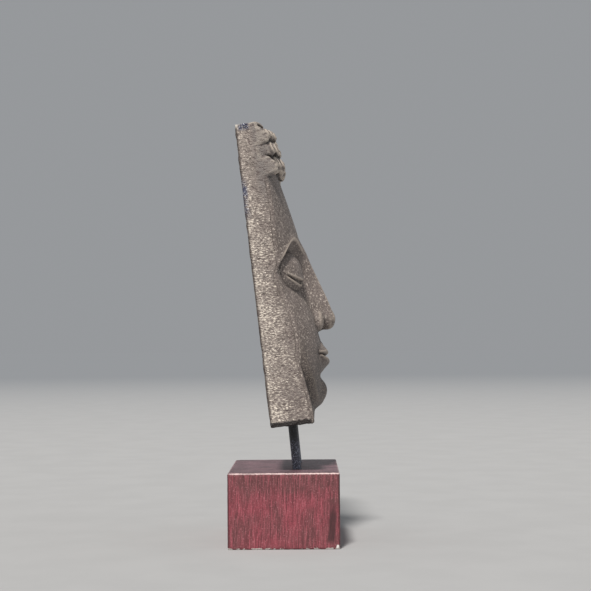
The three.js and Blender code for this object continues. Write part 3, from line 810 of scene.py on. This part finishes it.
def stone_painted_light(maker, base, grain, hair):
    """Painted shade in the hollows and between the curls, painted highlights on proud ridges and curls, and
    painted shade with painted cream glints over the foot of the front.
    """
    crease, recess, low, inside = maker.marks("crease", "recess", "low front", "away from cut")
    return maker.layers(
        base, (RECESS_PAINTED_SHADE, recess), (CREASE_PAINTED_SHADE, crease), (HAIR_GAP_PAINTED_SHADE, recess, hair),
        (PROUD_PAINTED_HIGHLIGHT, crease, inside), (HAIR_PAINTED_HIGHLIGHTS, crease, hair), (LOW_FRONT_SHADE, low),
        (LOW_FRONT_PAINTED_GLINTS, grain, low))


def stone_edges(maker, base, cut, grain, pits):
    """Painted shade along the slab's back and lower edges, and its cream and blue chips."""
    back, low, cream, blue = maker.marks("back edge", "low edge", "cream chip", "blue chip")
    ragged = low + pits * LOW_EDGE_PAINTED_SHADE["ragged"]
    on_cut = maker.math("MAXIMUM", cut, LOW_EDGE_PAINTED_SHADE["off_cut"])
    base = maker.layers(base, (BACK_EDGE_PAINTED_SHADE, back), (LOW_EDGE_PAINTED_SHADE, ragged, on_cut), (CREAM_TONE, cream))
    blue_stone = maker.layers(colour(BLUE_TONE), (BLUE_GRAIN, grain))
    return maker.blend(blue * maker.spread(pits, *BLUE_BREAKS), base, blue_stone)


def stone_finish():
    """Brown-grey cast stone with painted cream glints on the cut sides and painted shade in the hollows."""
    material, maker, shader, place = principled("weathered stone")
    cut, hair, band, pale_top = maker.marks("cut", "hair", "smooth band", "pale top")
    cloud, grain, fine = (maker.noise(place, **look) for look in (STONE_CLOUD, STONE_GRAIN, STONE_FINE))
    across = maker.stretched(place, WALL_STRETCH)
    glints = maker.noise(across, **WALL_GLINTS)
    pits = maker.noise(maker.vector("ADD", across, WALL_SHIFT), **WALL_PITS)
    crowd = crowded(maker, place, glints, band)
    wall = maker.layers(
        colour(WALL_TONE), (WALL_PALE, cloud), (WALL_TOP, pale_top), (WALL_BAND, band),
        (WALL_PIT_PAINTED_SHADE, pits), (WALL_PAINTED_GLINTS, crowd), (WALL_PAINTED_SPARKLE, crowd))
    base = maker.blend(cut, carved_skin(maker, place, cloud, grain, fine, hair), wall)
    base = stone_edges(maker, stone_painted_light(maker, base, grain, hair), cut, grain, pits)
    rough = maker.spread(cloud, *STONE_ROUGHNESS) - cut * maker.spread(crowd, *GLINT_POLISH)
    height = grain * STONE_BUMP["grain"] + fine * STONE_BUMP["fine"]
    height = height + (pits + glints) * (cut * STONE_BUMP["wall"])
    finish(maker, shader, base, rough, height, STONE_BUMP["depth"])
    return material


def rod_finish():
    """Black painted steel, with a painted blue-grey sheen and pale glints that grow towards the lit foot."""
    material, maker, shader, place = principled("black rod paint")
    cloud, speck = maker.noise(place, **ROD_CLOUD), maker.noise(place, **ROD_SPECK)
    foot = maker.spread(maker.parts(place)[2], *ROD_LIT_FOOT)
    base = maker.layers(colour(ROD_BLACK), (ROD_GREY, cloud))
    # Painted sheen and glints where the lower rod is lit
    base = maker.blend(foot * maker.spread(cloud, *ROD_PAINTED_SHEEN_SPAN), base, colour(ROD_PAINTED_SHEEN_TONE))
    base = maker.layers(base, (ROD_PAINTED_GLINTS, speck, foot + ROD_PAINTED_GLINTS["above_foot"]))
    finish(maker, shader, base, maker.spread(speck, *ROD_ROUGHNESS), speck, ROD_BUMP)
    return material


def stain_share(maker, lean, from_near):
    """One long dark stroke near the front edge of the near side."""
    _, y, z = maker.parts(lean)
    wander = maker.noise(lean, **STAIN_NOISE) * STAIN_WANDER
    away = maker.math("ABSOLUTE", y + wander - STAIN_PLACE)
    upright = maker.spread(z, *STAIN_FOOT) * maker.spread(z, *STAIN_TOP)
    return maker.spread(away, *STAIN_ACROSS) * upright * maker.spread(from_near, *STAIN_SKIN)


def brushed_sides(maker, place, lean, stroke, bristle, from_top):
    """Upright strokes of red and brown paint, browner towards the top."""
    patch, broad = maker.noise(place, **PAINT_PATCH), maker.noise(lean, **PAINT_BROAD)
    grain = maker.noise(place, **PAINT_GRAIN)
    high = maker.spread(from_top, *HIGH_BROWN)
    brown = maker.math("ADD", maker.spread(patch, *PATCH_BROWN), high, clamp=True)
    sides = maker.layers(
        maker.blend(brown, colour(PAINT_RED), colour(PAINT_BROWN)), (BROAD_DARKS, broad),
        (STROKE_DARKS, stroke), (STROKE_LIGHTS, stroke), (BRISTLE_LIGHTS, bristle), (BRISTLE_DARKS, bristle),
        (GRAIN_DARKS, grain), (GRAIN_LIGHTS, grain))
    top = maker.layers(colour(TOP_TONE), (TOP_DARKS, patch), (TOP_SPECKS, maker.noise(place, **TOP_GRAIN)))
    return sides, top


def worn_edges(maker, base, place, from_top, from_near):
    """Dark upright edges, cream worn top edges, and pale chips along the foot and at one corner."""
    x, y, z = maker.parts(place)
    from_side = BLOCK_WIDTH / 2 - maker.math("ABSOLUTE", x)
    from_front = BLOCK_DEPTH / 2 - maker.math("ABSOLUTE", y)
    nearest = maker.math("MINIMUM", from_side, from_front)
    fray = maker.noise(place, **FRAY) * FRAY_REACH
    base = maker.layers(base, (UPRIGHT_EDGE, maker.math("MAXIMUM", from_side, from_front)))
    worn = maker.spread(maker.math("MAXIMUM", from_top, nearest) - fray, *WORN_EDGE)
    worn = worn * maker.spread(maker.noise(place, **WORN_BREAKS), *WORN_SPAN)
    worn = worn * maker.spread(from_near, *WORN_NEAR_SIDE)
    foot_edge = maker.math("MAXIMUM", z, nearest) - fray
    breaks = maker.spread(maker.noise(place, **LOW_CHIP_BREAKS), *LOW_CHIP_SPAN)
    from_corner = maker.vector("DISTANCE", place, CORNER_CHIP["place"]) + fray * CORNER_CHIP["fray"]
    base = maker.blend(worn, base, colour(WORN_TONE))
    return maker.layers(base, (LOW_CHIP, foot_edge, breaks), (CORNER_CHIP, from_corner)), worn


def paint_finish():
    """Red paint brushed upright over a dark ground, worn to cream along the top edges and chipped below."""
    material, maker, shader, place = principled("brushed red paint")
    x, _, z = maker.parts(place)
    from_near, from_top = x + BLOCK_WIDTH / 2, BLOCK_HEIGHT - z
    slant = z * PAINT_SLANT
    lean = maker.vector("ADD", place, maker.add("ShaderNodeCombineXYZ", {0: slant, 1: slant}))
    stroke, bristle = maker.noise(lean, **PAINT_STROKE), maker.noise(lean, **PAINT_BRISTLE)
    sides, top = brushed_sides(maker, place, lean, stroke, bristle, from_top)
    sides = maker.blend(stain_share(maker, lean, from_near), sides, colour(STAIN_TONE))
    base = maker.blend(maker.spread(from_top, *ON_TOP), sides, top)
    base, worn = worn_edges(maker, base, place, from_top, from_near)
    rough = maker.spread(stroke, *PAINT_ROUGHNESS) + worn * WORN_ROUGHNESS
    height = stroke * PAINT_BUMP["stroke"] + bristle * PAINT_BUMP["bristle"]
    finish(maker, shader, base, rough, height, PAINT_BUMP["depth"])
    return material


def floor_finish():
    """A plain pale floor without shine, a little darker far off."""
    material, maker, shader, place = principled("pale floor")
    shade, far = maker.noise(place, **FLOOR_SHADE), maker.vector("LENGTH", place)
    base = maker.layers(colour(FLOOR_TONE), (FLOOR_PALE, shade), (FLOOR_FAR, far))
    shader.inputs["Specular IOR Level"].default_value = 0.0
    finish(maker, shader, base, maker.spread(shade, *FLOOR_ROUGHNESS), shade, FLOOR_BUMP)
    return material


# Pieces

def slab_matrix():
    """From the slab's own axes (across, up its back, out of its back) to the part's frame, in metres."""
    up = Vector((0, math.sin(SLAB_LEAN), math.cos(SLAB_LEAN)))
    across = Vector((1, 0, 0))
    turn = Matrix((across, up, across.cross(up))).transposed().to_4x4()
    return Matrix.Translation(Vector((0, SLAB_BACK, BLOCK_HEIGHT + SLAB_OVER_BLOCK)) * MM) @ turn


def ring_faces(first, second):
    """Four-sided faces between two closed rings of as many points."""
    after = np.roll(first, -1), np.roll(second, -1)
    return np.stack([first, second, after[1], after[0]], axis=1).tolist()


def grid_faces(number):
    """Four-sided faces on a grid of numbered points."""
    faces = np.stack([number[:-1, :-1], number[1:, :-1], number[1:, 1:], number[:-1, 1:]], axis=-1)
    return faces.reshape(-1, 4).tolist()


def border_of(number):
    """The numbers round a grid's border, in turn."""
    return np.concatenate([number[:-1, 0], number[-1, :-1], number[:0:-1, -1], number[0, :0:-1]])


def from_cuts(u, v):
    """How far a place lies from the nearest of the slab's side, top and bottom cuts."""
    return np.minimum(HALF_WIDTH - np.abs(u), np.minimum(v, SLAB_HEIGHT - v))


def slab_lines():
    """The mesh's lines across and up, closer round the nose and at brows, eyes, mouth and hair."""
    def across(u):
        nose = bump(np.abs(u) - CLOSER_COLUMNS["place"], CLOSER_COLUMNS["width"])
        return 1 + CLOSER_COLUMNS["share"] * nose

    def upward(v):
        hair = CLOSER_HAIR["share"] * step(HAIRLINE_LEVEL - CLOSER_HAIR["under"], HAIRLINE_LEVEL, v)
        return 1 + hair + sum(row["share"] * bump(v - row["level"], row["width"]) for row in CLOSER_ROWS)

    return grid_lines(-HALF_WIDTH, HALF_WIDTH, COLUMNS, across), grid_lines(0, SLAB_HEIGHT, ROWS, upward)


def rolled_rim(u, v, depth):
    """The front's depth rounded over at the cuts, with a wider round where the hair rolls over them."""
    on_hair = step(-HAIR_RIM["under"], HAIR_RIM["over"], v - hairline(u))
    on_hair = on_hair * step(HAIR_RIM["top"], HAIR_RIM["top_end"], SLAB_HEIGHT - v)
    rim = RIM_ROUND + (HAIR_RIM["round"] - RIM_ROUND) * on_hair
    inset = np.clip(rim - from_cuts(u, v), 0, rim)
    return depth - (rim - np.sqrt(rim ** 2 - inset ** 2))


def undercut(u, v, depth):
    """How far the drooping tip of the nose and the overhanging upper lids come down."""
    tip = NOSE_DROOP["drop"] * step(NOSE_DROOP["start"], NOSE_DROOP["end"], depth)
    tip = tip * bump(v - NOSE_LEVEL - NOSE_DROOP["rise"], NOSE_DROOP["height"]) * bump(u, NOSE_DROOP["width"])
    rim, inside = lid_rim(np.abs(u))
    lid = LID_OVERHANG["depth"] * bump(v - rim - LID_OVERHANG["rise"], LID_OVERHANG["width"])
    return tip + lid * step(0, SLIT["end_share"], inside)


def carve_curls(front):
    """The front's points with the hair's curls raised on them. At the cuts they rise straight out."""
    points = front.reshape(-1, 3)
    u, v, _ = points.T
    sheet = mesh_object("carved front", points, grid_faces(np.arange(len(points)).reshape(front.shape[:2])))
    set_value(sheet.data, "inner", step(0, CURL_UPRIGHT, from_cuts(u, v)))
    top_share = CURL_TOP_SHARE + (1 - CURL_TOP_SHARE) * step(0, CURL_TOP_FADE, SLAB_HEIGHT - v)
    side_share = CURL_SIDE_SHARE + (1 - CURL_SIDE_SHARE) * step(0, CURL_SIDE_FADE, HALF_WIDTH - np.abs(u))
    set_value(sheet.data, "curl share", top_share * side_share)
    u, v, size = curl_places()
    seats = mesh_object("curl centres", np.column_stack([u, v, hair_ground(u, v, head(u, v))]), [])
    set_value(seats.data, "size", size)
    raise_curls(sheet, seats)
    raised = points_of(sheet.data) / MM
    bpy.data.objects.remove(seats)
    bpy.data.objects.remove(sheet)
    return raised


def relief_mesh():
    """The closed slab: carved front, cut sides in rings, and a flat back on a wider grid."""
    us, vs = slab_lines()
    u, v = np.meshgrid(us, vs, indexing="ij")
    depth = rolled_rim(u, v, carving(u, v))
    points = carve_curls(np.stack([u, v - undercut(u, v, depth), depth], axis=-1))
    number = np.arange(u.size).reshape(u.shape)
    faces, border = grid_faces(number), border_of(number)
    rings, last = [points], border
    for k in range(1, RINGS + 1):
        number = np.arange(len(border)) + sum(len(ring) for ring in rings)
        rings.append(points[border] * [1, 1, 1 - k / RINGS])
        faces += ring_faces(last, number)
        last = number
    faces += back_faces(us, vs, last, rings)
    return np.concatenate(rings), faces


def back_faces(us, vs, border, rings):
    """Closes the back with a wider grid, joined to the fine border by fans."""
    shrink = 1 - 2 * SLAB_EDGE_ROUND / SLAB_WIDTH
    middle = SLAB_HEIGHT / 2
    inner_v = middle + (vs[::BACK_STEP] - middle) * shrink
    u, v = np.meshgrid(us[::BACK_STEP] * shrink, inner_v, indexing="ij")
    number = np.arange(u.size).reshape(u.shape) + sum(len(ring) for ring in rings)
    rings.append(np.stack([u, v, np.zeros_like(u)], axis=-1).reshape(-1, 3))
    faces = grid_faces(number.T)
    inner = border_of(number)
    for k, start in enumerate(inner):
        end = inner[(k + 1) % len(inner)]
        fine = [border[(k * BACK_STEP + i) % len(border)] for i in range(BACK_STEP + 1)]
        half = BACK_STEP // 2
        faces += [[fine[i], start, fine[i + 1]] for i in range(half)]
        faces.append([fine[half], start, end])
        faces += [[fine[i], end, fine[i + 1]] for i in range(half, BACK_STEP)]
    return faces


def make_relief(material):
    """The carved slab, rough where it was cut, with two bores in its foot."""
    points, faces = relief_mesh()
    is_cut = np.ones(len(points))
    is_cut[: (COLUMNS + 1) * (ROWS + 1)] = 0
    # the box is deeper than the carving, so that only the edges of the cuts are rounded
    low, high = np.array([-HALF_WIDTH, 0, 0]), np.array([HALF_WIDTH, SLAB_HEIGHT, 2 * SLAB_DEPTH])
    points = rounded_box(points, low, high, SLAB_EDGE_ROUND)
    relief = mesh_object("stone_face", points, faces)
    u, v, depth = points.T
    rolled = step(*WALL_ON_HAIR["side"], HALF_WIDTH - np.abs(u))
    set_value(relief.data, "cut", np.maximum(is_cut, rolled * step(*WALL_ON_HAIR["level"], v - hairline(u))))
    set_value(relief.data, "pitted", is_cut * (1 - SMOOTH_BAND["pits_lost"] * smooth_band(v, depth)))
    patterns = {"Pit": PITS, "Blotch": BLOTCHES}
    sink_patterns(relief, "Rough cut stone", patterns, STONE_SEED, "pitted", material)
    relief.data.transform(slab_matrix())
    bore(relief, -BORE_PAST, ROD_IN_SLAB)
    relief.data.transform(slab_matrix().inverted())
    mark_relief(relief.data)
    relief.data.transform(slab_matrix())
    smooth(relief)
    return relief


def smooth_band(v, depth):
    """One on the smoother front part of the cut sides beside the hair."""
    return step(*SMOOTH_BAND["level"], v) * step(*SMOOTH_BAND["depth"], depth)


def mark_relief(mesh):
    """Marks hollows, chips, and where painted shade and painted glints lie, for the stone's finish."""
    u, v, depth = (points_of(mesh) / MM).T
    from_side, from_cut = HALF_WIDTH - np.abs(u), from_cuts(u, v)
    near = step(*NEAR_SIDE, u + HALF_WIDTH)
    set_value(mesh, "crease", hollow_of(mesh, CREASE_ROUNDS))
    set_value(mesh, "recess", hollow_of(mesh, RECESS_ROUNDS))
    calm = CALM_TOP["share"] * step(*CALM_TOP["level"], v)
    set_value(mesh, "towards back", np.clip(1 - depth / TOWARDS_BACK, 0, 1) - calm)
    set_value(mesh, "smooth band", smooth_band(v, depth))
    set_value(mesh, "hair", step(*HAIR_EDGE, v - hairline(u)))
    set_value(mesh, "pale top", step(*PALE_TOP, v))
    # the lower front, where painted shade lies
    foot = step(*LOW_FRONT["level"], v) * step(*LOW_FRONT["depth"], depth)
    set_value(mesh, "low front", foot * step(*LOW_FRONT["side"], from_side))
    set_value(mesh, "back edge", 1 - step(*BACK_EDGE, np.hypot(np.clip(from_cut, 0, None), depth)))
    set_value(mesh, "low edge", 1 - step(*LOW_EDGE, v))
    set_value(mesh, "away from cut", step(*AWAY_FROM_CUT, from_cut))
    from_chip = np.hypot(v - SLAB_HEIGHT, depth - CREAM_CHIP["depth"])
    set_value(mesh, "cream chip", near * (1 - step(*CREAM_CHIP["reach"], from_chip)))
    set_value(mesh, "blue chip", near * blue_chips(v, depth))


def blue_chips(v, depth):
    """One on the blue chips: one under the top cut, and two along the back edge."""
    top, edge = BLUE_TOP_CHIP, BLUE_EDGE_CHIP
    on_top = step(*top["level"], v) * step(*top["inner"], depth) * step(*top["outer"], depth)
    along = bump(v - edge["level"], edge["height"])
    along = along + edge["second_share"] * bump(v - edge["second"], edge["second_height"])
    return np.clip(on_top + along * step(*edge["depth"], depth), 0, 1)


def rod_entry():
    """Where the rods' axis enters the slab's foot, and how much of a rod shows under it."""
    entry = slab_matrix() @ (Vector((0, 0, ROD_FROM_SLAB_BACK)) * MM)
    return entry, (entry.z / MM - BLOCK_HEIGHT) / math.cos(ROD_LEAN)


def turned(name, profile, x):
    """A piece turned round a rod's axis from (radius, distance) pairs, closed at both ends."""
    angle = np.linspace(0, 2 * math.pi, ROD_SIDES, endpoint=False)
    circle = np.column_stack([np.cos(angle), np.sin(angle), np.zeros(ROD_SIDES)])
    points = np.concatenate([circle * radius + [0, 0, distance] for radius, distance in profile])
    rings = np.arange(len(points)).reshape(-1, ROD_SIDES)
    faces = []
    for first, second in zip(rings[1:], rings):
        faces += ring_faces(first, second)
    faces += [rings[0][::-1].tolist(), rings[-1].tolist()]
    thing = mesh_object(name, points, faces)
    entry, _ = rod_entry()
    place = Matrix.Translation(entry + Vector((x * MM, 0, 0)))
    thing.data.transform(place @ Matrix.Rotation(-ROD_LEAN, 4, "X"))
    return thing


def make_rod(name, x, material):
    """A round bar with softened ends."""
    _, shown = rod_entry()
    low, high = -shown - ROD_IN_BLOCK + GAP, ROD_IN_SLAB - GAP
    end = ROD_RADIUS - ROD_END_ROUND
    middle = [(ROD_RADIUS, d) for d in np.linspace(low + ROD_END_ROUND, high - ROD_END_ROUND, ROD_RINGS)]
    rod = turned(name, [(end, low)] + middle + [(end, high)], x)
    rod.data.materials.append(material)
    smooth(rod)
    return rod


def bore(thing, low, high):
    """Cuts the two rod holes."""
    radius = ROD_RADIUS + GAP
    for x in (-ROD_SPACING / 2, ROD_SPACING / 2):
        cutter = turned("cutter", [(radius, low), (radius, high)], x)
        modifier = thing.modifiers.new("bore", "BOOLEAN")
        modifier.object = cutter
        modifier.operation = "DIFFERENCE"
        modifier.solver = "EXACT"
        bake(thing)
        bpy.data.objects.remove(cutter)


def box_surface(sizes, cell):
    """A box's surface as one closed grid of points, low corner at the origin."""
    counts = [max(2, round(size / cell)) for size in sizes]
    lines = [np.linspace(0, size, count + 1) for size, count in zip(sizes, counts)]
    made = bmesh.new()
    for axis in range(3):
        first, second = [a for a in range(3) if a != axis]
        for end in (0, -1):
            grid = {}
            for i, a in enumerate(lines[first]):
                for j, b in enumerate(lines[second]):
                    place = [0.0, 0.0, 0.0]
                    place[axis], place[first], place[second] = lines[axis][end], a, b
                    grid[i, j] = made.verts.new(place)
            for i in range(counts[first]):
                for j in range(counts[second]):
                    made.faces.new([grid[i, j], grid[i + 1, j], grid[i + 1, j + 1], grid[i, j + 1]])
    bmesh.ops.remove_doubles(made, verts=made.verts, dist=cell / 10)
    bmesh.ops.recalc_face_normals(made, faces=made.faces)
    made.verts.index_update()
    points = np.array([vert.co for vert in made.verts])
    faces = [[vert.index for vert in face.verts] for face in made.faces]
    made.free()
    return points, faces


def corner_share(points, sizes):
    """One along the block's edges, falling to nothing a little way in."""
    from_faces = np.sort(sizes / 2 - np.abs(points - [0, 0, sizes[2] / 2]))
    return 1 - step(*DENT_REACH, from_faces[:, 1])


def make_block(material):
    """A sawn block with softened, dented edges and two bores."""
    sizes = np.array([BLOCK_WIDTH, BLOCK_DEPTH, BLOCK_HEIGHT])
    points, faces = box_surface(sizes, BLOCK_CELL)
    points = rounded_box(points, np.zeros(3), sizes, BLOCK_EDGE_ROUND) - [sizes[0] / 2, sizes[1] / 2, 0]
    block = mesh_object("painted_block", points, faces)
    set_value(block.data, "corner", corner_share(points, sizes))
    sink_patterns(block, "Worn edges", {"Dent": DENTS}, BLOCK_SEED, "corner", material)
    _, shown = rod_entry()
    bore(block, -shown - ROD_IN_BLOCK, -shown + BORE_PAST)
    block.data.materials.clear()
    block.data.materials.append(material)
    smooth(block)
    return block


# Camera, light and floor

def make_camera():
    data = bpy.data.cameras.new("camera")
    data.lens, data.sensor_width = CAMERA_LENS, CAMERA_SENSOR
    data.clip_start, data.clip_end = CAMERA_NEAREST, CAMERA_FARTHEST
    flat = math.cos(CAMERA_PITCH)
    forward = Vector((flat * math.cos(CAMERA_YAW), flat * math.sin(CAMERA_YAW), math.sin(CAMERA_PITCH)))
    right = Vector((math.sin(CAMERA_YAW), -math.cos(CAMERA_YAW), 0))
    up = right.cross(forward)
    turn, rise = math.cos(CAMERA_ROLL), math.sin(CAMERA_ROLL)
    axes = (turn * right + rise * up, turn * up - rise * right, -forward)
    camera = add_object("camera", data)
    camera.matrix_world = Matrix.Translation(CAMERA_PLACE) @ Matrix(axes).transposed().to_4x4()
    bpy.context.scene.camera = camera


def make_sun(name, towards, power, softness, tint):
    """Even light from far off, with soft shadows."""
    data = bpy.data.lights.new(name, "SUN")
    data.energy, data.angle, data.color = power, math.radians(softness), tint
    light = add_object(name, data)
    light.matrix_world = Vector(towards).to_track_quat("Z", "Y").to_matrix().to_4x4()


def make_lamp(name, place, aim, size, power, tint):
    """A round lamp that points at its aim."""
    data = bpy.data.lights.new(name, "AREA")
    data.shape, data.size, data.energy, data.color = "DISK", size, power, tint
    turn = (Vector(aim) - Vector(place)).to_track_quat("-Z", "Y").to_matrix().to_4x4()
    add_object(name, data).matrix_world = Matrix.Translation(place) @ turn


def make_studio():
    corners = [(-FLOOR_HALF, -FLOOR_HALF, 0), (FLOOR_HALF, -FLOOR_HALF, 0), (FLOOR_HALF, FLOOR_HALF, 0),
               (-FLOOR_HALF, FLOOR_HALF, 0)]
    floor = mesh_object("floor", corners, [[0, 1, 2, 3]])
    floor.data.materials.append(floor_finish())
    world = bpy.data.worlds.new("studio")
    world.use_nodes = True
    sky = world.node_tree.nodes["Background"]
    sky.inputs["Color"].default_value = SKY["tint"]
    sky.inputs["Strength"].default_value = SKY["power"]
    bpy.context.scene.world = world
    make_sun("key", **KEY_SUN)
    make_lamp("front fill", **FRONT_FILL)
    bpy.context.scene.view_settings.view_transform = "Standard"


def place_piece(piece, node):
    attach(piece, "root")
    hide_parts(node)


make_camera()
make_studio()
stone, black, red = stone_finish(), rod_finish(), paint_finish()
place_piece(make_relief(stone), "face_relief")
place_piece(make_rod("rod_near", -ROD_SPACING / 2, black), "rod_left")
place_piece(make_rod("rod_far", ROD_SPACING / 2, black), "rod_right")
place_piece(make_block(red), "block")
